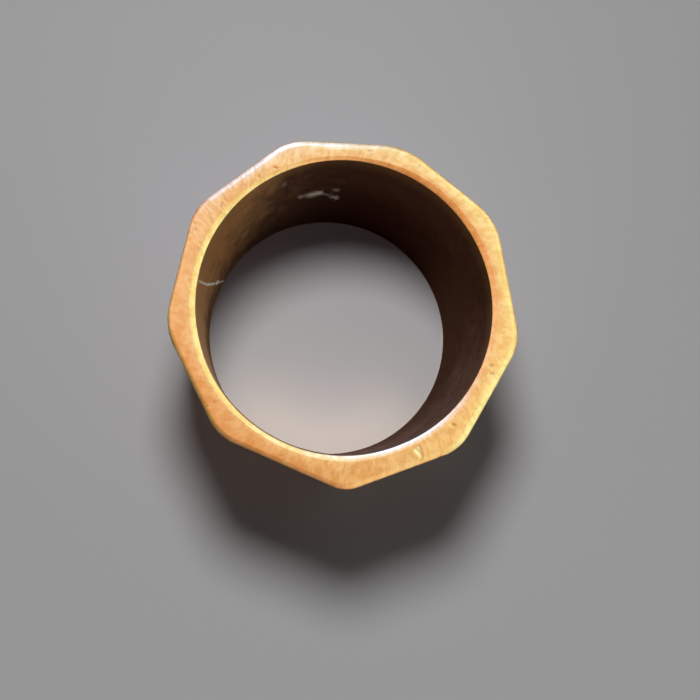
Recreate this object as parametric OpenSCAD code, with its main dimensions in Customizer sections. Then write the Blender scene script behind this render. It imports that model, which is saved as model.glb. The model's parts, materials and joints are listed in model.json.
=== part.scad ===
// Statement ring: one wide band, round inside, with nine flats and soft corners outside.
// The origin is the centre of the finger bore, midway between the two end faces, and +Z
// runs along the bore. The ring lies on its lower end face, at Z = -band_w / 2.

/* [Band] */
// Radius of the finger bore
bore_r = 9.1; // [7:0.05:11.5]
// Width of the band, measured along the finger
band_w = 13; // [4:0.5:20]
// Metal between the bore and the middle of a flat, before the filing
wall = 1.2; // [1.1:0.05:2.5]

/* [Flats] */
// Direction that the first flat faces, in degrees from +X
first_flat = 9; // [0:1:39]
// Radius of the upright corners, before the filing
corner_r = 3.4; // [2.8:0.1:6]
// How unevenly the flats are filed: 0 is an even nonagon, 1 is the real ring
filing = 1; // [0:0.1:1]

/* [Rims] */
// Radius of the rounding along both outer rims
outer_rim_r = 0.3; // [0.1:0.05:0.4]
// Radius of the rounding along both rims of the bore
bore_rim_r = 0.3; // [0.1:0.05:0.4]

/* [Hidden] */
$fn = 180;

// One row a flat, counter-clockwise. TURN is how many degrees it is filed away from even
// spacing, OUT how much further out it was left, and SOFTER how much larger the radius is
// of the corner between it and the next flat. OUT and SOFTER are lengths.
TURN = 0;
OUT = 1;
SOFTER = 2;
FILED = [
    [ 0.0,  0.02,  0.4],
    [ 2.5,  0.00,  1.0],
    [ 0.5, -0.08,  0.0],
    [-0.5, -0.04,  0.0],
    [-1.5, -0.02,  0.4],
    [-2.5,  0.10, -0.4],
    [-3.0,  0.10, -1.4],
    [ 0.0,  0.32, -0.4],
    [-0.5,  0.16,  0.0],
];
flat_count = len(FILED);
flat_step = 360 / flat_count;

// Flats that stand in for each rounding: one upright corner, and a quarter turn over a rim
corner_steps = 6;
rim_steps = 4;
// How far the bore's cutter runs past both end faces
overrun = 1;

function filed(i, column) = filing * FILED[i % flat_count][column];
function facing(i) = first_flat + flat_step * i + filed(i, TURN);
function reach(i) = bore_r + wall + filed(i, OUT);
function corner_radius(i) = corner_r + filed(i, SOFTER);

// The point at distance p from the axis along direction a and at distance q along direction b
function crossing(a, p, b, q) =
    [p * sin(b) - q * sin(a), q * cos(a) - p * cos(b)] / sin(b - a);

// Centre of the rounding between flat i and the next one
function corner_centre(i) = crossing(
    facing(i), reach(i) - corner_radius(i),
    facing(i + 1), reach(i + 1) - corner_radius(i));

// The outline seen along the bore, with every side moved inwards by inset
function outline(inset) = [
    for (i = [0 : flat_count - 1])
        let (turn = facing(i + 1) - facing(i))
            for (step = [0 : corner_steps])
                let (a = facing(i) + turn * step / corner_steps)
                    corner_centre(i) + (corner_radius(i) - inset) * [cos(a), sin(a)]
];

// The form outside, before the bore: prisms that are shorter the further out they reach,
// so that the rims are rounded
module blank() {
    hull()
        for (tilt = [0 : 90 / rim_steps : 90]) {
            inset = outer_rim_r * (1 - cos(tilt));
            rise = outer_rim_r * (1 - sin(tilt));
            linear_extrude(band_w - 2 * rise, center = true)
                polygon(outline(inset));
        }
}

// What is cut away at the upper end of the bore, so that its rim is left rounded
module flare_section() {
    flare_r = bore_r + bore_rim_r;
    start = band_w / 2 - bore_rim_r;
    difference() {
        translate([0, start])
            square([flare_r, bore_rim_r + overrun]);
        translate([flare_r, start])
            circle(bore_rim_r);
    }
}

// Half of the bore cut along its axis, with a flare at each end
module bore_section() {
    translate([0, -band_w / 2 - overrun])
        square([bore_r, band_w + 2 * overrun]);
    flare_section();
    mirror([0, 1])
        flare_section();
}

// The whole ring, one solid
module band() {
    color("peru")
        difference() {
            blank();
            rotate_extrude()
                bore_section();
        }
}

band();
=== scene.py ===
# %% [markdown]
# A wide statement ring in gold-coloured bronze lies on one end face on a pale table, and
# the camera looks down into it. The real ring was made from one piece of metal: a round
# bore was cut through a thick blank, nine flats were filed round the outside, and wear
# has softened every corner. The bore has gone dark with age, while the parts that are
# touched, the rims and the flats, have stayed bright.
#
# A ring has so few parts that each of them has to be right: the outline, the way the
# rims roll over into the walls, the small marks in the metal, and what the metal
# mirrors. This lesson takes them in that order. Everything is in metres, in the frame of
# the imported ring, whose origin is the centre of the bore and whose +Z runs along it.

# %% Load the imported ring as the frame
import json
import math

import bpy
import numpy as np
from mathutils import Matrix, Vector


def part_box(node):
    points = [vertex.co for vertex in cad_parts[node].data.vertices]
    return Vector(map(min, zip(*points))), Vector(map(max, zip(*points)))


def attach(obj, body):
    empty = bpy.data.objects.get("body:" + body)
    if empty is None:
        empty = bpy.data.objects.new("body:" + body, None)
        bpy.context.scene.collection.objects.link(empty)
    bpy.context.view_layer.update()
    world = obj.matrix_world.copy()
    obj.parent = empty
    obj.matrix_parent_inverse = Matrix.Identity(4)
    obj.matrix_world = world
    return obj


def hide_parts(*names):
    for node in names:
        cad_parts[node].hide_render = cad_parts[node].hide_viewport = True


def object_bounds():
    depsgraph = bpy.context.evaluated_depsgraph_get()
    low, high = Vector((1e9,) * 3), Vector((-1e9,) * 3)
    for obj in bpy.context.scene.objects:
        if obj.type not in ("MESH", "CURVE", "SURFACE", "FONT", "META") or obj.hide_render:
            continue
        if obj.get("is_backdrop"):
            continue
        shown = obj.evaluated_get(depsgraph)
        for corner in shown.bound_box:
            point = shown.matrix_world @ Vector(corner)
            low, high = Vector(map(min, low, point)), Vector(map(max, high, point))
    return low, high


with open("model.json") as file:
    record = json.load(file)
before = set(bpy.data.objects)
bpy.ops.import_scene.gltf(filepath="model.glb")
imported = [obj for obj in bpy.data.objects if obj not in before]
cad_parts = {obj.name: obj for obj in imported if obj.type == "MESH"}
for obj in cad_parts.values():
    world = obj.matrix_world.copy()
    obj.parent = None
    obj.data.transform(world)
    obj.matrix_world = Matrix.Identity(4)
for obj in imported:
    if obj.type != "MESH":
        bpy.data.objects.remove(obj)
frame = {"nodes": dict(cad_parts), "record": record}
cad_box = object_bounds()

MM = 0.001
print("nodes in the frame:", sorted(frame["nodes"]))

# %% [markdown]
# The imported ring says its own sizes. The bore is a mount with a radius and a length, and
# the box gives the width of the band. Reading these from the frame keeps the looks on the
# ring's real shape, also after one of its sizes is changed.

# %% Read the main sizes
finger_bore = next(m for m in frame["record"]["mounts"] if m["name"] == "finger_bore")
bore_radius = finger_bore["dims"]["r_mm"] * MM
band_low, band_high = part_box("band")
half_width = (band_high.z - band_low.z) / 2
print(f"bore radius {bore_radius / MM:.2f} mm, band {2 * half_width / MM:.2f} mm wide")

# %% [markdown]
# The flats are not quite even, because they were filed by hand. Their directions could be
# typed in again here, but a second list can drift away from the first. The frame's own
# triangles hold them: the nine largest upright planes that face outwards are the flats,
# and where each one ends tells how large the round corner next to it is.

# %% Find the nine flats on the frame's triangles
FLAT_COUNT = 9


def outward_triangles(mesh):
    """Corners, area and normal of the upright triangles that face away from the axis."""
    mesh.calc_loop_triangles()
    points = np.array([v.co for v in mesh.vertices])
    corners = points[np.array([t.vertices for t in mesh.loop_triangles])]
    cross = np.cross(corners[:, 1] - corners[:, 0], corners[:, 2] - corners[:, 0])
    area = np.linalg.norm(cross, axis=1) / 2
    sound = area > 1e-12
    corners, area = corners[sound], area[sound]
    normal = cross[sound] / (2 * area[:, None])
    middle = corners.mean(axis=1)
    keep = (abs(normal[:, 2]) < 0.01) & ((middle[:, :2] * normal[:, :2]).sum(axis=1) > 0)
    return corners[keep], area[keep], normal[keep]


def read_flats(mesh):
    """(direction in radians, distance from the axis, left end) of each flat, by direction."""
    corners, area, normal = outward_triangles(mesh)
    facing = np.degrees(np.arctan2(normal[:, 1], normal[:, 0])).round(1) % 360
    directions = np.unique(facing)
    total = np.array([area[facing == d].sum() for d in directions])
    flats = []
    for direction in sorted(directions[np.argsort(total)[-FLAT_COUNT:]]):
        on_it = corners[facing == direction].reshape(-1, 3)[:, :2]
        n = normal[facing == direction].mean(axis=0)
        angle = math.atan2(n[1], n[0])
        ahead = np.array([math.cos(angle), math.sin(angle)])
        left = np.array([-math.sin(angle), math.cos(angle)])
        flats.append((angle % math.tau, (on_it @ ahead).mean(), (on_it @ left).max()))
    return flats


flats = read_flats(frame["nodes"]["band"].data)
for angle, distance, _ in flats:
    print(f"flat facing {math.degrees(angle):6.1f} degrees, {distance / MM:.2f} mm out")

# %% [markdown]
# Two neighbouring flats would meet in a sharp upright edge. The worn corner is an arc
# that touches both, and the arc's radius follows from the length of flat that it took.
# The nine sharp corners become a small mesh, with each corner's radius beside it, and
# Geometry Nodes will do the rounding.

# %% Work out the nine corners
def sharp_corner(flat, following):
    """Where the lines of two flats cross."""
    (a, p, _), (b, q, _) = flat, following
    return np.array([p * math.sin(b) - q * math.sin(a),
                     q * math.cos(a) - p * math.cos(b)]) / math.sin(b - a)


def corner_radius(flat, following):
    """The radius of the arc that takes over where the flat ends."""
    angle, _, left_end = flat
    left = np.array([-math.sin(angle), math.cos(angle)])
    turn = (following[0] - angle) % math.tau
    return (sharp_corner(flat, following) @ left - left_end) / math.tan(turn / 2)


pairs = list(zip(flats, flats[1:] + flats[:1]))
corners = [sharp_corner(*pair) for pair in pairs]
radii = [corner_radius(*pair) for pair in pairs]
print("corner radii in mm:", [round(float(r) / MM, 2) for r in radii])


def wire_object(name, points, edges, **columns):
    """A mesh of edges alone, with a named number at each of its points."""
    mesh = bpy.data.meshes.new(name)
    mesh.from_pydata(points, edges, [])
    for column, values in columns.items():
        mesh.attributes.new(column, "FLOAT", "POINT").data.foreach_set("value", values)
    made = bpy.data.objects.new(name, mesh)
    bpy.context.scene.collection.objects.link(made)
    return made


def loop_object(name, points, **columns):
    """A closed loop of edges through the points."""
    count = len(points)
    return wire_object(name, points, [(i, (i + 1) % count) for i in range(count)], **columns)


corner_loop = loop_object("corner_loop", [(x, y, 0) for x, y in corners], softness=radii)

# %% [markdown]
# Cut through the wall, the ring shows a tall narrow shape: a straight bore side, a
# straight outer side and two rims. A rim is nearly flat. Towards the bore it has a small
# chamfer, cut so that the ring slips over the knuckle, and towards the outside a bevel
# that wear has softened. Each edge is described by the slope of the metal, in degrees
# from level, along pieces of its way from the face to the side. A long piece of nearly
# even slope gives a facet, and a short one that turns far gives a crisp bend.
#
# The wall is thin at the middle of a flat and thick at a corner, so one fixed outline of
# the section would not do. Each of its points therefore carries numbers instead of a
# place: its share of the way from the bore to the outside, its inset from the side it
# hangs on, its height, and its lift, which is how far it lies below the rim. The places
# are worked out where the section goes round, and the edges can be made wider there.

# %% Draw the section of the wall
CHAMFER = [(0.26, 0, 18), (0.68, 18, 31), (0.06, 31, 90)]
BEVEL = [(0.20, 0, 12), (0.64, 12, 29), (0.14, 29, 90)]
chamfer_run = 0.34 * MM
bevel_run = 0.38 * MM
rim_crown = 0.012 * MM


def edge_points(pieces, run, steps):
    """(inset, drop) down over an edge; a piece is its length and its slope at both ends."""
    across, down, points = 0.0, 0.0, [(0.0, 0.0)]
    for length, start, end in pieces:
        for k in range(steps):
            slope = math.radians(start + (end - start) * (k + 0.5) / steps)
            across += length / steps * math.cos(slope)
            down += length / steps * math.sin(slope)
            points.append((across, down))
    return [((across - x) / across * run, y / across * run) for x, y in points]


def rim_points(side, edge_steps, face_steps):
    """(share, inset, height, lift) from bore to outside; side is 1 for the upper rim."""
    points = [(0, inset, drop + rim_crown)
              for inset, drop in reversed(edge_points(CHAMFER, chamfer_run, edge_steps))]
    for k in range(1, face_steps):
        share = k / face_steps
        inset = chamfer_run + (bevel_run - chamfer_run) * share
        points.append((share, inset, rim_crown * (2 * share - 1) ** 2))
    points += [(1, inset, drop + rim_crown)
               for inset, drop in edge_points(BEVEL, bevel_run, edge_steps)]
    return [(share, inset, side * (half_width - drop), side * drop)
            for share, inset, drop in points]


def side_points(share, start, end, steps):
    """Between two rims, up the bore or down the outside, without either end."""
    return [(share, 0, start + (end - start) * k / steps, 0) for k in range(1, steps)]


upper = rim_points(+1, edge_steps=4, face_steps=14)
lower = rim_points(-1, edge_steps=2, face_steps=6)[::-1]
section = (upper + side_points(1, upper[-1][2], lower[0][2], steps=40)
           + lower + side_points(0, lower[-1][2], upper[0][2], steps=38))
shares, insets, heights, lifts = zip(*section)
section_loop = loop_object("section_loop", [(share, height, 0) for share, _, height, _ in section],
                           share=shares, inset=insets, height=heights, lift=lifts)
print(len(section), "points round the section of the wall")

# %% [markdown]
# Node trees are easier to read as arithmetic than as a net of wires. A Wire below is one
# output of a node, and adding or multiplying Wires adds the Math node that does it. A
# Bench holds one tree, of geometry or of shading alike, and its node() makes any other
# node from its type, its settings and the values or Wires of its sockets.

# %% A small workbench for node trees
class Wire:
    """One output of a node; arithmetic on it adds Math nodes."""

    def __init__(self, bench, socket):
        self.bench, self.socket = bench, socket

    def __add__(self, other):
        return self.bench.math("ADD", self, other)

    def __sub__(self, other):
        return self.bench.math("SUBTRACT", self, other)

    def __rsub__(self, other):
        return self.bench.math("SUBTRACT", other, self)

    def __mul__(self, other):
        return self.bench.math("MULTIPLY", self, other)

    def __truediv__(self, other):
        return self.bench.math("DIVIDE", self, other)

    def __rtruediv__(self, other):
        return self.bench.math("DIVIDE", other, self)

    __radd__, __rmul__ = __add__, __mul__


class Bench:
    """One node tree and the ways of adding to it."""

    def __init__(self, tree):
        self.tree = tree

    def node(self, kind, settings=(), sockets=()):
        made = self.tree.nodes.new(kind)
        for name, value in dict(settings).items():
            setattr(made, name, value)
        for name, value in dict(sockets).items():
            self.feed(made, name, value)
        return made

    def feed(self, node, name, value):
        if isinstance(name, int):
            socket = node.inputs[name]
        else:
            socket = next(s for s in node.inputs if s.name == name and s.enabled)
        if isinstance(value, Wire):
            self.tree.links.new(value.socket, socket)
        else:
            socket.default_value = value

    def wire(self, node, name=None):
        shown = [s for s in node.outputs if s.enabled]
        return Wire(self, shown[0] if name is None else next(s for s in shown if s.name == name))

    def math(self, operation, a, b=0.0, clamped=False):
        return self.wire(self.node("ShaderNodeMath", {"operation": operation, "use_clamp": clamped},
                                   {0: a, 1: b}))

    def vector(self, operation, a, b=(0, 0, 0)):
        made = self.node("ShaderNodeVectorMath", {"operation": operation}, {0: a})
        self.feed(made, "Scale" if operation == "SCALE" else 1, b)
        return self.wire(made)

    def ramp(self, value, low, high, start=0.0, end=1.0):
        """Eases from start to end while the value goes from low to high."""
        return self.wire(self.node(
            "ShaderNodeMapRange", {"interpolation_type": "SMOOTHSTEP"},
            {"Value": value, "From Min": low, "From Max": high, "To Min": start, "To Max": end}))

    def noise(self, place, scale, detail=2.0, roughness=0.5):
        return self.wire(self.node(
            "ShaderNodeTexNoise", {},
            {"Vector": place, "Scale": scale, "Detail": detail, "Roughness": roughness}))

    def cells(self, place, scale):
        """Distance from the nearest of many scattered centres."""
        return self.wire(self.node("ShaderNodeTexVoronoi", {}, {"Vector": place, "Scale": scale}),
                         "Distance")

    def split(self, vector):
        parts = self.node("ShaderNodeSeparateXYZ", {}, {"Vector": vector})
        return [self.wire(parts, axis) for axis in "XYZ"]

    def join(self, x, y, z):
        return self.wire(self.node("ShaderNodeCombineXYZ", {}, {"X": x, "Y": y, "Z": z}))

    def mix(self, factor, a, b):
        return self.wire(self.node("ShaderNodeMix", {"data_type": "RGBA"},
                                   {"Factor": factor, "A": a, "B": b}))


# %% [markdown]
# Around a ring, patterns run in two directions: out from the bore, and along the rim. A
# plain X, Y place knows neither. Dividing X and Y by the distance from the axis gives a
# point on a circle of radius 1, which says where along the ring one is without the jump
# that an angle makes after a full turn. That point, the distance and the height are the
# coordinates that every pattern on this ring uses, and they are in millimetres.

# %% Coordinates that follow the ring
class RingPlace:
    """Where a point of the surface is, as the patterns need it."""

    def __init__(self, bench, position):
        self.bench = bench
        self.mm = bench.vector("SCALE", position, 1 / MM)
        x, y, self.level = bench.split(self.mm)
        self.distance = bench.math("SQRT", x * x + y * y)
        self.east, self.north = x / self.distance, y / self.distance
        self.below_rim = half_width / MM - bench.math("ABSOLUTE", self.level)

    def near_angle(self, degrees, reach):
        """1 at an angle round the ring, easing to 0 at reach degrees away from it."""
        angle = math.radians(degrees)
        closeness = self.east * math.cos(angle) + self.north * math.sin(angle)
        return self.bench.ramp(closeness, math.cos(math.radians(reach)), 1.0)

    def around(self, base, *windows):
        """A number that changes round the ring: base, and (degrees, reach, amount) windows."""
        total = base
        for degrees, reach, amount in windows:
            total = self.near_angle(degrees, reach) * amount + total
        return total

    def radial_noise(self, along, across, up=0.0, detail=3.0, lean=0.0):
        """Noise with its own number of waves per millimetre along the rim, out and up."""
        around_ring, slant = along * bore_radius / MM, self.distance * lean
        return self.bench.noise(self.bench.join(
            self.east * around_ring - self.north * slant,
            self.north * around_ring + self.east * slant,
            self.distance * across + self.level * up), 1.0, detail)


# %% [markdown]
# The real rim has a few marks that its owner would know it by: a forked nick at the lower
# right, and some short dents. They are drawn as short strokes in a mesh of edges, and the
# tree below lowers the metal near each stroke. Every stroke is given by the angle and the
# distance from the axis at both its ends, because that is how one points at a place on a
# ring.

# %% Draw the marks on the upper rim
RIM_MARKS = [  # degrees and mm at the start, then at the end
    ((295.9, 9.66), (295.2, 10.24)),
    ((294.5, 9.74), (295.1, 10.06)),
    ((336.5, 9.52), (336.9, 9.66)),
    ((333.8, 9.75), (334.4, 9.90)),
    ((310.4, 9.68), (310.8, 9.80)),
    ((117.4, 9.38), (117.7, 9.48)),
    ((124.8, 9.36), (124.6, 9.46)),
]


def on_ring(degrees, distance, level):
    """The place, in mm, at an angle and a distance from the axis."""
    angle = math.radians(degrees)
    return distance * math.cos(angle), distance * math.sin(angle), level


mark_ends = [Vector(on_ring(*end, half_width / MM)) * MM for mark in RIM_MARKS for end in mark]
marks = wire_object("marks", mark_ends, [(i, i + 1) for i in range(0, len(mark_ends), 2)])
print(len(RIM_MARKS), "strokes for the marks on the rim")

# %% [markdown]
# The band follows a rule, so Geometry Nodes make it. The nine sharp corners turn into a
# curve, Fillet Curve rounds each one by its own radius, and Resample Curve spreads the
# columns evenly. Curve to Mesh then carries the section round that curve. It only serves
# to pair every column with every point of the section: the real places come from Set
# Position, which mixes the round bore with the nine-sided outside.

# %% Start the band's tree and weave columns and section together
COLUMNS = 720


def group_with_inputs(name, inputs):
    """An empty geometry tree with a Geometry input, the named inputs and a Geometry output."""
    tree = bpy.data.node_groups.new(name, "GeometryNodeTree")
    tree.interface.new_socket("Geometry", in_out="INPUT", socket_type="NodeSocketGeometry")
    for label, kind in inputs.items():
        tree.interface.new_socket(label, in_out="INPUT", socket_type="NodeSocket" + kind)
    tree.interface.new_socket("Geometry", in_out="OUTPUT", socket_type="NodeSocketGeometry")
    return tree


band_tree = group_with_inputs("band_tree", {
    "Corners": "Object", "Marks": "Object", "Columns": "Int", "Bore radius": "Float",
    "Wave depth": "Float", "File mark depth": "Float", "Pit depth": "Float",
    "Mark depth": "Float", "Metal": "Material"})
shop = Bench(band_tree)
given = shop.node("NodeGroupInput")


def named(attribute, kind="FLOAT"):
    return shop.wire(shop.node("GeometryNodeInputNamedAttribute", {"data_type": kind},
                               {"Name": attribute}))


def stored(geometry, attribute, value, kind="FLOAT"):
    return shop.wire(shop.node(
        "GeometryNodeStoreNamedAttribute", {"data_type": kind, "domain": "POINT"},
        {"Geometry": geometry, "Name": attribute, "Value": value}))


def geometry_of(label):
    return shop.wire(shop.node("GeometryNodeObjectInfo", {},
                               {"Object": shop.wire(given, label)}), "Geometry")


def position():
    return shop.wire(shop.node("GeometryNodeInputPosition"))


sharp_outline = shop.wire(shop.node("GeometryNodeMeshToCurve", {},
                                    {"Mesh": geometry_of("Corners")}))
soft_outline = shop.wire(shop.node(
    "GeometryNodeFilletCurve", {"mode": "POLY"},
    {"Curve": sharp_outline, "Radius": named("softness"), "Count": 24}))
columns = shop.wire(shop.node("GeometryNodeResampleCurve", {},
                              {"Curve": soft_outline, "Count": shop.wire(given, "Columns")}))
outline = stored(columns, "outside", position(), "FLOAT_VECTOR")
profile = shop.wire(shop.node("GeometryNodeMeshToCurve", {},
                              {"Mesh": shop.wire(given, "Geometry")}))
woven = shop.wire(shop.node("GeometryNodeCurveToMesh", {},
                            {"Curve": outline, "Profile Curve": profile}))
print(COLUMNS, "columns round the ring, with", len(section), "points each")

# %% [markdown]
# No hand-finished edge is the same all the way round. The chamfer of the real ring is wide
# on the left, on the right and at the bottom of the picture, and almost worn away at the
# top, while the bevel is widest at the lower right. Windows round the ring scale both of
# them. A wider edge keeps nearly its depth, so that it grows flatter and not deeper. At
# the lower left the lip of the bore is worn back a little, where the ring may have leant
# on its owner's knuckle each time it came off, and at the upper left it leans in.

# %% Put every point in its place
outside = named("outside", "FLOAT_VECTOR")
direction = shop.vector("NORMALIZE", outside)
outer_distance = shop.vector("LENGTH", outside)
share, inset, height, lift = named("share"), named("inset"), named("height"), named("lift")
column = RingPlace(shop, outside)
chamfer_scale = column.around(0.70, (175, 80, 0.55), (290, 60, 0.55), (30, 55, 0.65))
bevel_scale = column.around(0.85, (315, 60, 0.45), (110, 50, 0.25))
scale = chamfer_scale * (1 - share) + bevel_scale * share
reach = ((shop.wire(given, "Bore radius") + inset * scale) * (1 - share)
         + (outer_distance - inset * scale) * share)
deepening = 0.35
level = height - lift * (scale - 1) * deepening
lip_worn, lip_lean = 0.09 * MM, 0.07 * MM
worn_lip = (column.around(0.0, (243, 50, lip_worn), (145, 60, -lip_lean)) * (1 - share)
            * shop.ramp(height, half_width - 1.5 * MM, half_width - 0.3 * MM))
smooth_band = shop.wire(shop.node("GeometryNodeSetPosition", {}, {
    "Geometry": woven,
    "Position": shop.vector("ADD", shop.vector("SCALE", direction, reach + worn_lip),
                            shop.join(0.0, 0.0, level))}))
print(f"the lip of the bore is worn back by up to {lip_worn / MM:.2f} mm")

# %% [markdown]
# Relief is measured inwards from the smooth metal, and it only ever takes metal away, so
# the ring cannot outgrow its true size. A file leaves slow waves, a few millimetres long.
# Across the rims it leaves short marks that run out from the bore, so that noise is read
# fast along the ring and slowly across it. Pits come in groups, as they do in castings:
# a cell pattern gives scattered centres, and only where a slow noise is high do they
# break the surface. How hollow the metal is at a point is stored for the shading, because
# dirt gathers there.

# %% Add the relief and finish the tree
here = RingPlace(shop, position())
on_rim = shop.ramp(here.below_rim, 0.1, 0.35, 1.0, 0.0)
waves = shop.noise(here.mm, 0.35, detail=1.0)
file_marks = here.radial_noise(along=3.2, across=0.7)
pit_spread = shop.ramp(shop.noise(here.mm, 0.8, detail=1.0), 0.56, 0.68)
pit_shape = shop.ramp(shop.cells(here.mm, 2.6), 0.10, 0.30, 1.0, 0.0)
pits = pit_spread * pit_shape
to_mark = shop.wire(shop.node("GeometryNodeProximity", {"target_element": "EDGES"},
                              {"Geometry": geometry_of("Marks")}), "Distance")
marked = shop.ramp(to_mark, 0.0, 0.14 * MM, 1.0, 0.0)
depth = (waves * shop.wire(given, "Wave depth")
         + file_marks * on_rim * shop.wire(given, "File mark depth")
         + pits * shop.wire(given, "Pit depth")
         + marked * shop.wire(given, "Mark depth"))
normal = shop.wire(shop.node("GeometryNodeInputNormal"))
worn_band = shop.wire(shop.node("GeometryNodeSetPosition", {}, {
    "Geometry": stored(smooth_band, "hollow", shop.math("MAXIMUM", pits, marked)),
    "Offset": shop.vector("SCALE", normal, depth * -1)}))
plain_mesh = shop.wire(shop.node("GeometryNodeRealizeInstances", {}, {"Geometry": worn_band}))
shaded = shop.wire(shop.node("GeometryNodeSetShadeSmooth", {}, {"Geometry": plain_mesh}))
finished = shop.wire(shop.node("GeometryNodeSetMaterial", {},
                               {"Geometry": shaded, "Material": shop.wire(given, "Metal")}))
shop.node("NodeGroupOutput", {}, {"Geometry": finished})
print("the band's tree has", len(band_tree.nodes), "nodes")

# %% [markdown]
# Gilt bronze is one metal, but no two places on a worn ring have quite the same colour.
# The rim is mottled, with short darker dashes that a tool left across it. The flats were
# rubbed down along the ring, so their fine lines run round it. The shader starts from
# that mottled gold. All its patterns use the ring's own coordinates, so they follow the
# metal round.

# %% Mix the gold of the rims and flats
gilt = bpy.data.materials.new("gilt_bronze")
gilt.use_nodes = True
gilt.node_tree.nodes.clear()
paint = Bench(gilt.node_tree)
spot = RingPlace(paint, paint.wire(paint.node("ShaderNodeTexCoord"), "Object"))
hollow = paint.wire(paint.node("ShaderNodeAttribute", {"attribute_name": "hollow"}), "Fac")

on_face = paint.ramp(spot.below_rim, 0.05, 0.5, 1.0, 0.0)
on_flats = paint.ramp(spot.below_rim, 0.3, 0.9)
mottle = paint.noise(spot.mm, 1.5, detail=6.0, roughness=0.65)
blotches = paint.noise(spot.mm, 0.6, detail=2.0)
tool_lines = spot.radial_noise(along=3.4, across=2.2, up=9.0, detail=4.0, lean=1.2)
satin = spot.radial_noise(along=0.45, across=0.0, up=13.0)
rim_tint = paint.ramp(mottle * 0.50 + blotches * 0.15 + tool_lines * 0.35, 0.42, 0.58)
flat_tint = paint.ramp(satin * 0.25 + mottle * 0.35 + blotches * 0.40, 0.22, 0.78)
tint = rim_tint * (1 - on_flats) + flat_tint * on_flats
warm_gold = (0.86, 0.455, 0.150, 1)
pale_gold = (0.97, 0.585, 0.230, 1)
gold = paint.mix(tint, warm_gold, pale_gold)

dash_field = spot.around(0.20, (140, 30, 0.8), (90, 35, 0.55), (285, 40, 0.5))
dash_noise = spot.radial_noise(along=4.6, across=2.0, detail=1.0, lean=1.6)
dashes = paint.ramp(dash_noise, 0.55, 0.70) * dash_field * on_face
dash_brown = (0.58, 0.27, 0.105, 1)
gold = paint.mix(dashes * 0.42, gold, dash_brown)
print("the gold of the rims and flats takes", len(gilt.node_tree.nodes), "nodes")

# %% [markdown]
# The bore is never polished, and sweat and soap have turned it brown in patches. The
# tarnish has run in streaks along the finger, which are faint at the lower right, and it
# stops just short of the chamfer, which fingers keep bright. Light and shade are painted
# into this colour too: the bore is painted darker at the top right and deep down, nearly
# black deep at the top right, where the wall lies in shade, and paler and warmer on the
# left, where light falls on it, with the bright band by the chamfer painted brighter there.
# Tarnished bronze still mirrors a little, so it stays a metal with a darker colour and a
# rougher face.

# %% Tarnish the bore and paint its light and shade
bore_mm = bore_radius / MM
tarnish_edge = bore_mm + 0.04
in_bore = (paint.ramp(spot.distance, tarnish_edge, tarnish_edge + 0.06, 1.0, 0.0)
           * paint.ramp(spot.below_rim, 0.14, 0.26))
streaks = spot.radial_noise(along=1.6, across=0.0, up=0.22, detail=5.0)
clouds = paint.noise(spot.mm, 0.75, detail=5.0, roughness=0.6)
# Painted light: the left wall, where light falls, gets thinner and warmer tarnish.
lit_left_side = spot.near_angle(175, 80)
near_top = paint.ramp(spot.level, 1.0, 6.0)
deep = paint.ramp(spot.level, 1.0, -5.5)
# Painted shade and light: the tarnish is painted thicker towards the top right and deep in the bore,
# where the wall lies in shade, and thinner high on the left, where light falls.
tarnish_and_shade_weight = (spot.around(0.60, (55, 85, 0.36), (182, 72, -0.50))
             - near_top * lit_left_side * 0.45 + deep * (spot.near_angle(198, 45) * 0.4 + 0.35))
patches = (streaks * 0.3 + clouds * 0.7 - 0.5) * (1 - spot.near_angle(330, 70) * 0.6) + 0.5
tarnish_and_shade_amount = paint.ramp(patches + tarnish_and_shade_weight * 0.6, 0.45, 1.05)
thin_tarnish_and_light = paint.mix(lit_left_side, (0.51, 0.29, 0.165, 1), (0.77, 0.40, 0.155, 1))
thick_tarnish_and_shade = paint.mix(lit_left_side, (0.088, 0.040, 0.028, 1), (0.19, 0.098, 0.060, 1))
bore_metal = paint.mix(tarnish_and_shade_amount, thin_tarnish_and_light, thick_tarnish_and_shade)
# Painted shade: deep at the top right the wall is painted nearly black, where it lies in shade.
painted_deep_shade = spot.near_angle(62, 50) * paint.ramp(spot.level, 4.0, -1.0)
nearly_black = (0.046, 0.014, 0.012, 1)
bore_metal = paint.mix(painted_deep_shade * 0.9, bore_metal, nearly_black)
# Fingers rub the bore bright by the chamfer; this band is also painted brighter on the lit left, as
# painted light.
rubbed_and_lit = paint.ramp(spot.level, 4.6, 6.3) * (lit_left_side * 0.60 + 0.12)
bore_metal = paint.mix(rubbed_and_lit, bore_metal, gold)
print(f"tarnish inside {tarnish_edge:.2f} mm from the axis")

# %% [markdown]
# Two pale marks catch the eye in the dark bore: a painted glint at the top, a pale patch
# that stands for light caught on the wall, and a long thin scratch on the left. Each is a
# soft-edged stroke between two places on the wall. The distance from a stroke is vector
# arithmetic: walk along it to the nearest point, but not past its ends, and measure from
# there.

# %% Draw the painted glint and the scratch
def stroke(place, start, end, width, softness, tall=1.0):
    """1 on the line from start to end, both (degrees, level), easing to 0 beside it."""
    a, b = (Vector(on_ring(degrees, bore_mm, level / tall)) for degrees, level in (start, end))
    along = b - a
    squeezed = paint.vector("MULTIPLY", place, (1, 1, 1 / tall))
    from_start = paint.vector("SUBTRACT", squeezed, tuple(a))
    walked = paint.math("DIVIDE", paint.vector("DOT_PRODUCT", from_start, tuple(along)),
                        along.length_squared, clamped=True)
    nearest = paint.vector("SCALE", tuple(along), walked)
    away = paint.vector("LENGTH", paint.vector("SUBTRACT", from_start, nearest))
    return paint.ramp(away, width, width + softness, 1.0, 0.0)


def strongest(first, *others):
    """The largest of several masks."""
    top = first
    for mask in others:
        top = paint.math("MAXIMUM", top, mask)
    return top


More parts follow.
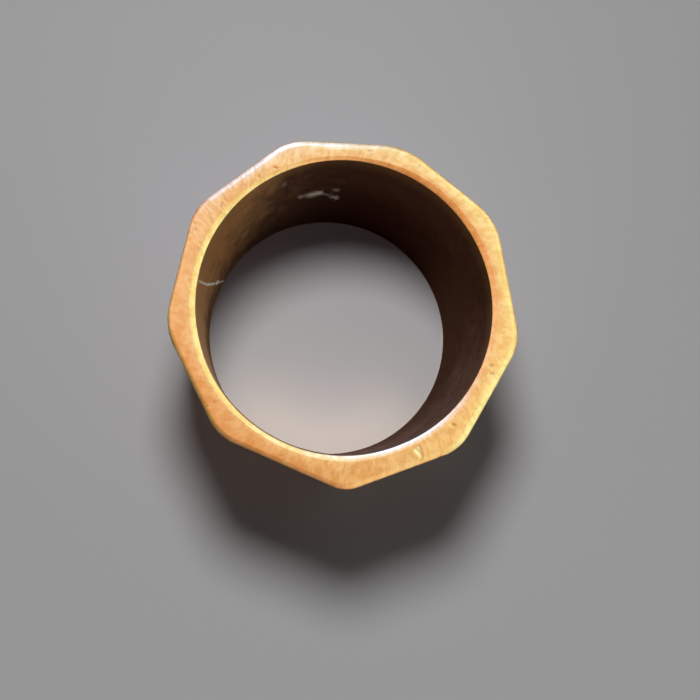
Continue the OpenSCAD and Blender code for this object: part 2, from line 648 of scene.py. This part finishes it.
def path(place, points, width, softness, tall=1.0):
    """A stroke along a line that bends."""
    return strongest(*(stroke(place, start, end, width, softness, tall)
                       for start, end in zip(points, points[1:])))


# Painted highlight: a pale patch at the top of the bore stands for a glint on the wall.
tremble = (paint.noise(spot.mm, 3.0, detail=3.0) - 0.5) * 0.4
shaken = paint.vector("ADD", spot.mm, paint.join(tremble, tremble, tremble * 2.4))
painted_glint = strongest(path(shaken, [(101.6, 0.38), (97.6, 0.55)], 0.0, 0.46, tall=1.6) * 0.85,
                  path(shaken, [(106.0, 0.45), (101.0, 0.38)], 0.0, 0.42, tall=1.3) * 0.42,
                  path(shaken, [(97.0, 0.45), (93.5, 0.0), (91.0, -0.45)], 0.0, 0.30, tall=1.5) * 0.24,
                  path(shaken, [(91.0, -0.45), (89.8, -0.62)], 0.0, 0.36, tall=1.6) * 0.60,
                  path(shaken, [(91.0, 1.05), (90.2, 0.98)], 0.0, 0.36, tall=1.6) * 0.32,
                  path(shaken, [(114.5, 3.8), (114.2, 3.9)], 0.0, 0.30, tall=1.8) * 0.3)
painted_glint = painted_glint * paint.ramp(paint.noise(spot.mm, 3.0, detail=2.0), 0.20, 0.50, 0.70, 1.0)
scratch = strongest(path(spot.mm, [(170.7, 5.2), (168.2, 3.0), (165.8, 0.9)], 0.01, 0.12) * 0.85,
                    path(spot.mm, [(165.8, 0.9), (162.0, -1.5), (160.2, -2.5)], 0.04, 0.11),
                    path(spot.mm, [(160.2, -2.5), (158.4, -3.3), (157.0, -4.3)], 0.0, 0.10) * 0.8,
                    path(spot.mm, [(158.2, -3.4), (157.3, -3.9)], 0.13, 0.14),
                    path(spot.mm, [(157.0, -4.3), (155.4, -4.9), (153.6, -5.8), (152.4, -6.4)],
                         0.02, 0.11) * 0.95)
glint_and_scratch = strongest(painted_glint, scratch) * in_bore
print("the gilt bronze has", len(gilt.node_tree.nodes), "nodes before it is put together")

# %% [markdown]
# What is left is how smooth the metal is. The worn corners are the smoothest, the rims
# and the flats are a little rougher, with the fine lines of the last abrasive on the
# flats, and the tarnish is the roughest. The lines and the mottling also go into a Bump
# node, which bends the light without moving any metal, for relief too fine to model.
# Hollows collect a dark film, and so do faint patches of the flats. The forked nick gets a
# painted highlight: its cut is painted a pale bright gold, as if it caught the light.

# %% Put the gilt bronze together
outside_wall = on_flats * (1 - in_bore)
worn_corner = paint.ramp(spot.distance, 10.5, 10.85)
scratches = paint.ramp(paint.noise(paint.vector("MULTIPLY", spot.mm, (9.0, 7.0, 1.2)), 1.0,
                                   detail=3.0), 0.58, 0.66)
film = outside_wall * (1 - worn_corner) * paint.ramp(blotches * 0.75 + mottle * 0.25, 0.48, 0.66)
# Painted highlight: the cut of the forked nick is painted a pale bright gold.
nick_highlight = hollow * spot.near_angle(295.0, 3.0)
film_brown = (0.46, 0.29, 0.14, 1)
dirt_brown = (0.37, 0.205, 0.085, 1)
worn_gold = (0.97, 0.60, 0.25, 1)
painted_highlight_gold = (1.0, 0.90, 0.44, 1)
glint_and_scratch_pale = (1.0, 0.90, 0.77, 1)

metal = paint.mix(film * 0.25, gold, film_brown)
metal = paint.mix(hollow * 0.45, metal, dirt_brown)
metal = paint.mix(worn_corner * outside_wall * 0.6, metal, worn_gold)
# Painted highlight on the forked nick.
metal = paint.mix(nick_highlight * 0.9, metal, painted_highlight_gold)
metal = paint.mix(in_bore, metal, bore_metal)
# The scratch is pale metal; the glint at the top of the bore is painted light.
metal = paint.mix(glint_and_scratch, metal, glint_and_scratch_pale)

roughness = (0.30 + (mottle - 0.5) * 0.20 + outside_wall * (satin - 0.65) * 0.26
             + film * 0.06 - worn_corner * outside_wall * 0.06 + scratches * outside_wall * 0.08
             + in_bore * (0.10 + tarnish_and_shade_amount * 0.16) + glint_and_scratch * 0.25)
relief = (mottle * (0.7 - outside_wall * 0.4) + tool_lines * on_face * 0.6 - dashes * 0.4
          + satin * outside_wall * 0.6 - scratches * outside_wall * 0.5 + streaks * in_bore)
bent = paint.wire(paint.node("ShaderNodeBump", {}, {
    "Strength": 1.0, "Distance": 0.008 * MM, "Height": relief}))
surface = paint.node("ShaderNodeBsdfPrincipled", {}, {
    "Base Color": metal, "Roughness": roughness, "Metallic": 1.0, "Normal": bent,
    "Specular Tint": (0.66, 0.54, 0.46, 1)})
paint.node("ShaderNodeOutputMaterial", {}, {"Surface": paint.wire(surface)})
print("the gilt bronze has", len(gilt.node_tree.nodes), "nodes")

# %% [markdown]
# Now the tree can make the band. It sits as a modifier on the section, and its inputs are
# set before anything is evaluated. A modifier knows a socket by its identifier and not by
# its label, so a small helper looks the identifiers up. The result is copied into a plain
# mesh, which needs no tree any more. The three helper objects go, the new band hangs from
# the ring's root, and the plain band from the frame is hidden.

# %% Make the band from its tree
def tree_inputs(tree, values):
    """The identifiers of the tree's inputs, with the values given by label."""
    sockets = {s.name: s.identifier for s in tree.interface.items_tree
               if s.item_type == "SOCKET" and s.in_out == "INPUT"}
    return {sockets[label]: value for label, value in values.items()}


builder = section_loop.modifiers.new("band", "NODES")
builder.node_group = band_tree
for identifier, value in tree_inputs(band_tree, {
        "Corners": corner_loop, "Marks": marks, "Columns": COLUMNS, "Bore radius": bore_radius,
        "Wave depth": 0.02 * MM, "File mark depth": 0.005 * MM, "Pit depth": 0.015 * MM,
        "Mark depth": 0.035 * MM, "Metal": gilt}).items():
    builder[identifier] = value
depsgraph = bpy.context.evaluated_depsgraph_get()
band_mesh = bpy.data.meshes.new_from_object(section_loop.evaluated_get(depsgraph))
band = bpy.data.objects.new("band_metal", band_mesh)
bpy.context.scene.collection.objects.link(band)
for helper in (section_loop, corner_loop, marks):
    bpy.data.objects.remove(helper)
band_mesh.calc_loop_triangles()
print("band:", len(band_mesh.loop_triangles), "triangles")

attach(band, "root")
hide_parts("band")

# %% [markdown]
# The camera stands where the photographer stood, less than a hand's width above the ring
# and a little towards the lower left, and looks almost straight down. Its place, the point
# it looks at and its focal length in pixels came from fitting a camera to both rims of the
# bore in the photograph, whose frame is 700 pixels wide.

# %% Set up the camera
camera_place = Vector((-5.05, -8.86, 49.62)) * MM
aimed_at = Vector((0.138, -2.890, 6.5)) * MM
camera_roll = math.radians(0.47)
photo_width = 700
focal_pixels = 730.1

camera_data = bpy.data.cameras.new("camera")
camera_data.sensor_width = 36.0
camera_data.lens = focal_pixels / photo_width * camera_data.sensor_width
camera_data.clip_start = 1 * MM
ahead = (aimed_at - camera_place).normalized()
right = ahead.cross(Vector((0, 1, 0))).normalized()
up = right.cross(ahead)
turn = Matrix.Rotation(-camera_roll, 3, "Z")
camera = bpy.data.objects.new("camera", camera_data)
camera.matrix_world = (Matrix.Translation(camera_place)
                       @ (Matrix((right, up, -ahead)).transposed() @ turn).to_4x4())
bpy.context.scene.collection.objects.link(camera)
bpy.context.scene.camera = camera
print(f"lens {camera_data.lens:.1f} mm, {camera_place.length / MM:.0f} mm from the ring's centre")

# %% [markdown]
# Metal is lit by what it mirrors, and a table by what shines on it, and the two ask for
# different lamps. A photographer solves that with flags and reflectors. Here each lamp is
# told what it may light: the key and the fill reach only matt things, and the soft lights
# further on only show in the metal. All of them are hidden from the camera.
#
# The shadow of the ring is wider than the ring itself, so the key lamp was near, less than
# a hand's width away. A near lamp would leave the far table dark. A Light Falloff node
# takes that away, so the lamp casts a near lamp's shadow and lights the table evenly.

# %% The lamps that light the table
def towards(azimuth, elevation):
    """The direction to a place round the ring, in degrees from +X and above the table."""
    a, e = math.radians(azimuth), math.radians(elevation)
    return Vector((math.cos(a) * math.cos(e), math.sin(a) * math.cos(e), math.sin(e)))


def lamp_at(name, kind, place, brightness, area):
    """A soft lamp that faces the ring; brightness is what a mirror would show of it."""
    light = bpy.data.lights.new(name, kind)
    light.energy = brightness * math.pi * area
    lamp = bpy.data.objects.new(name, light)
    lamp.location = place
    lamp.rotation_euler = place.to_track_quat("Z", "Y").to_euler()
    lamp.visible_camera = False
    bpy.context.scene.collection.objects.link(lamp)
    return lamp


def ball_area(radius):
    """The surface of a ball, which is what a point lamp with a size shines from."""
    return 4 * math.pi * radius ** 2


key_distance, key_radius = 60 * MM, 9 * MM
key_place = towards(104, 66.8) * key_distance
key = lamp_at("key", "POINT", key_place, brightness=29.6, area=ball_area(key_radius))
key.data.shadow_soft_size = key_radius
key.visible_glossy = False
key.data.use_nodes = True
key_bench = Bench(key.data.node_tree)
glow = next(n for n in key.data.node_tree.nodes if n.type == "EMISSION")
falloff = key_bench.node("ShaderNodeLightFalloff", {}, {"Strength": 1 / key_distance ** 2})
key_bench.feed(glow, "Strength", key_bench.wire(falloff, "Constant"))

fill_height, fill_radius = 0.5, 1.5
fill = lamp_at("fill", "AREA", towards(90, 90) * fill_height,
               brightness=0.036, area=math.pi * fill_radius ** 2)
fill.data.shape = "DISK"
fill.data.size = 2 * fill_radius
fill.data.color = (1.0, 0.97, 1.0)
fill.visible_glossy = False
print(f"key lamp {key_distance / MM:.0f} mm away, {2 * key_radius / MM:.0f} mm across; fill overhead")

# %% [markdown]
# Light also falls through the bore, glances off its bright lower wall and pools on the
# table inside the ring. Mirrored light of that kind is slow to compute, so a row of small
# warm lamps that hang close to that wall makes the pool instead. The metal does not show
# them, and the table outside the ring is out of their reach.

# %% The pool of light inside the ring
pool_radius = 0.6 * MM
pool_level = -3.3
pool_gap = 0.8
pool_degrees = (225, 245, 265, 285, 305)
for degrees in pool_degrees:
    place = Vector(on_ring(degrees, bore_mm - pool_gap, pool_level)) * MM
    pool = lamp_at(f"pool_{degrees}", "POINT", place, brightness=8.0, area=ball_area(pool_radius))
    pool.data.shadow_soft_size = pool_radius
    pool.data.color = (1.0, 0.74, 0.52)
    pool.visible_glossy = False
print(len(pool_degrees), f"pool lamps {pool_level + half_width / MM:.1f} mm above the table")

# %% [markdown]
# Everything else that the metal mirrors is far away and soft: a pale ceiling, a bright
# wall to the right and a cool window at the back, low and narrow, that makes the white
# edge at the top of the ring. Each of them is a round glow in the sky, brightest at its
# middle, and its sharpness says how fast it fades beside that. Only the metal sees them.
# The metal throws a little of their light on to the table, and the gold would turn it
# orange, so on that way the light is made cooler. The camera sees a plain backdrop in the
# table's own grey.

# %% The soft lights that show in the metal
SOFT_LIGHTS = [  # azimuth, elevation, sharpness, colour
    (0, 66, 14, (0.76, 0.71, 0.55)),
    (95, 66, 14, (0.67, 0.72, 1.00)),
    (180, 66, 14, (0.65, 0.30, 0.06)),
    (270, 66, 14, (0.27, 0.10, 0.03)),
    (295, 40, 14, (0.90, 0.80, 0.84)),
    (265, 40, 20, (0.29, 0.18, 0.16)),
    (335, 38, 16, (0.59, 1.42, 1.65)),
    (20, 40, 14, (0.49, 1.06, 1.22)),
    (60, 40, 14, (0.73, 1.14, 0.84)),
    (140, 40, 14, (0.93, 0.91, 0.95)),
    (168, 50, 20, (0.12, 0.22, 0.24)),
    (190, 40, 14, (0.05, 0.15, 0.12)),
    (230, 40, 14, (0.07, 0.14, 0.20)),
    (0, 12, 10, (0.88, 0.66, 0.32)),
    (50, 12, 10, (0.78, 0.88, 1.16)),
    (140, 12, 10, (0.20, 0.15, 0.32)),
    (100, 36, 50, (0.98, 3.50, 15.00)),
    (100, 8, 20, (1.47, 1.90, 3.95)),
    (80, 45, 40, (0.29, 0.60, 1.60)),
]
surround = (0.08, 0.05, 0.03)
cooler = (0.55, 0.70, 1.60, 1)
backdrop = (0.300, 0.295, 0.300, 1)

world = bpy.data.worlds.new("studio")
bpy.context.scene.world = world
world.use_nodes = True
world.node_tree.nodes.clear()
sky = Bench(world.node_tree)
look = sky.wire(sky.node("ShaderNodeTexCoord"), "Generated")
seen = surround
for azimuth, elevation, sharpness, colour in SOFT_LIGHTS:
    nearness = sky.vector("DOT_PRODUCT", look, tuple(towards(azimuth, elevation))) - 1
    seen = sky.vector("ADD", seen, sky.vector(
        "SCALE", colour, sky.math("EXPONENT", nearness * sharpness)))
path = sky.node("ShaderNodeLightPath")
thrown_back = sky.math("MINIMUM", sky.wire(path, "Diffuse Depth"), 1.0)
seen = sky.vector("MULTIPLY", seen, sky.mix(thrown_back, (1, 1, 1, 1), cooler))
background = sky.node("ShaderNodeBackground", {}, {
    "Color": sky.mix(sky.wire(path, "Is Camera Ray"), seen, backdrop)})
sky.node("ShaderNodeOutputWorld", {}, {"Surface": sky.wire(background)})
world.cycles_visibility.diffuse = False
bpy.context.scene.view_settings.view_transform = "Standard"
print(len(SOFT_LIGHTS), "soft lights in the sky")

# %% [markdown]
# The table is a matt pale grey. A lamp lights a table less where its light comes in at a
# low slant, and the table would fade to black towards the horizon. A studio sweep has
# lamps of its own for that. Here the table itself gives back what the slant takes away:
# a part of it near the ring, where the photograph shows some fading, and nearly all of it
# far out, so that the table meets the backdrop without a line.

# %% Lay the table
table_size = 12.0
table_mesh = bpy.data.meshes.new("table")
side = table_size / 2
table_mesh.from_pydata([(-side, -side, band_low.z), (side, -side, band_low.z),
                        (side, side, band_low.z), (-side, side, band_low.z)], [], [(0, 1, 2, 3)])
table = bpy.data.objects.new("table", table_mesh)
bpy.context.scene.collection.objects.link(table)

pale = bpy.data.materials.new("pale_table")
pale.use_nodes = True
pale.node_tree.nodes.clear()
cloth = Bench(pale.node_tree)
table_place = cloth.wire(cloth.node("ShaderNodeTexCoord"), "Object")
to_lamp = cloth.vector("LENGTH", cloth.vector("SUBTRACT", table_place, tuple(key_place)))
lamp_height = key_place.z - band_low.z
at_ring = lamp_height / (key_place - Vector((0, 0, band_low.z))).length
missing = cloth.math("MAXIMUM", at_ring - lamp_height / to_lamp, 0.0)
part_near, gap_far_out = 0.4, 0.05
given_back = cloth.math("MAXIMUM", missing * part_near, missing - gap_far_out)
table_light = 0.30
glow_colour = cloth.mix(given_back * (table_light / at_ring), (0, 0, 0, 1), (1, 0.985, 1, 1))
table_surface = cloth.node("ShaderNodeBsdfPrincipled", {}, {
    "Base Color": (0.50, 0.495, 0.50, 1), "Roughness": 0.9, "Specular IOR Level": 0.0,
    "Emission Color": glow_colour, "Emission Strength": 1.0})
cloth.node("ShaderNodeOutputMaterial", {}, {"Surface": cloth.wire(table_surface)})
table_mesh.materials.append(pale)
table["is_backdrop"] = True
print(f"table {table_size:.0f} m wide, {-band_low.z / MM:.1f} mm below the middle of the bore")

# %% [markdown]
# The dressed ring must not outgrow the imported one. The box of everything shown is printed
# beside the box that was measured at the start, so that the two can be compared.

# %% Print the sizes
shown_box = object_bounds()
for name, box in (("CAD", cad_box), ("shown", shown_box)):
    print(name, "box in mm:", [[round(v / MM, 3) for v in corner] for corner in box])
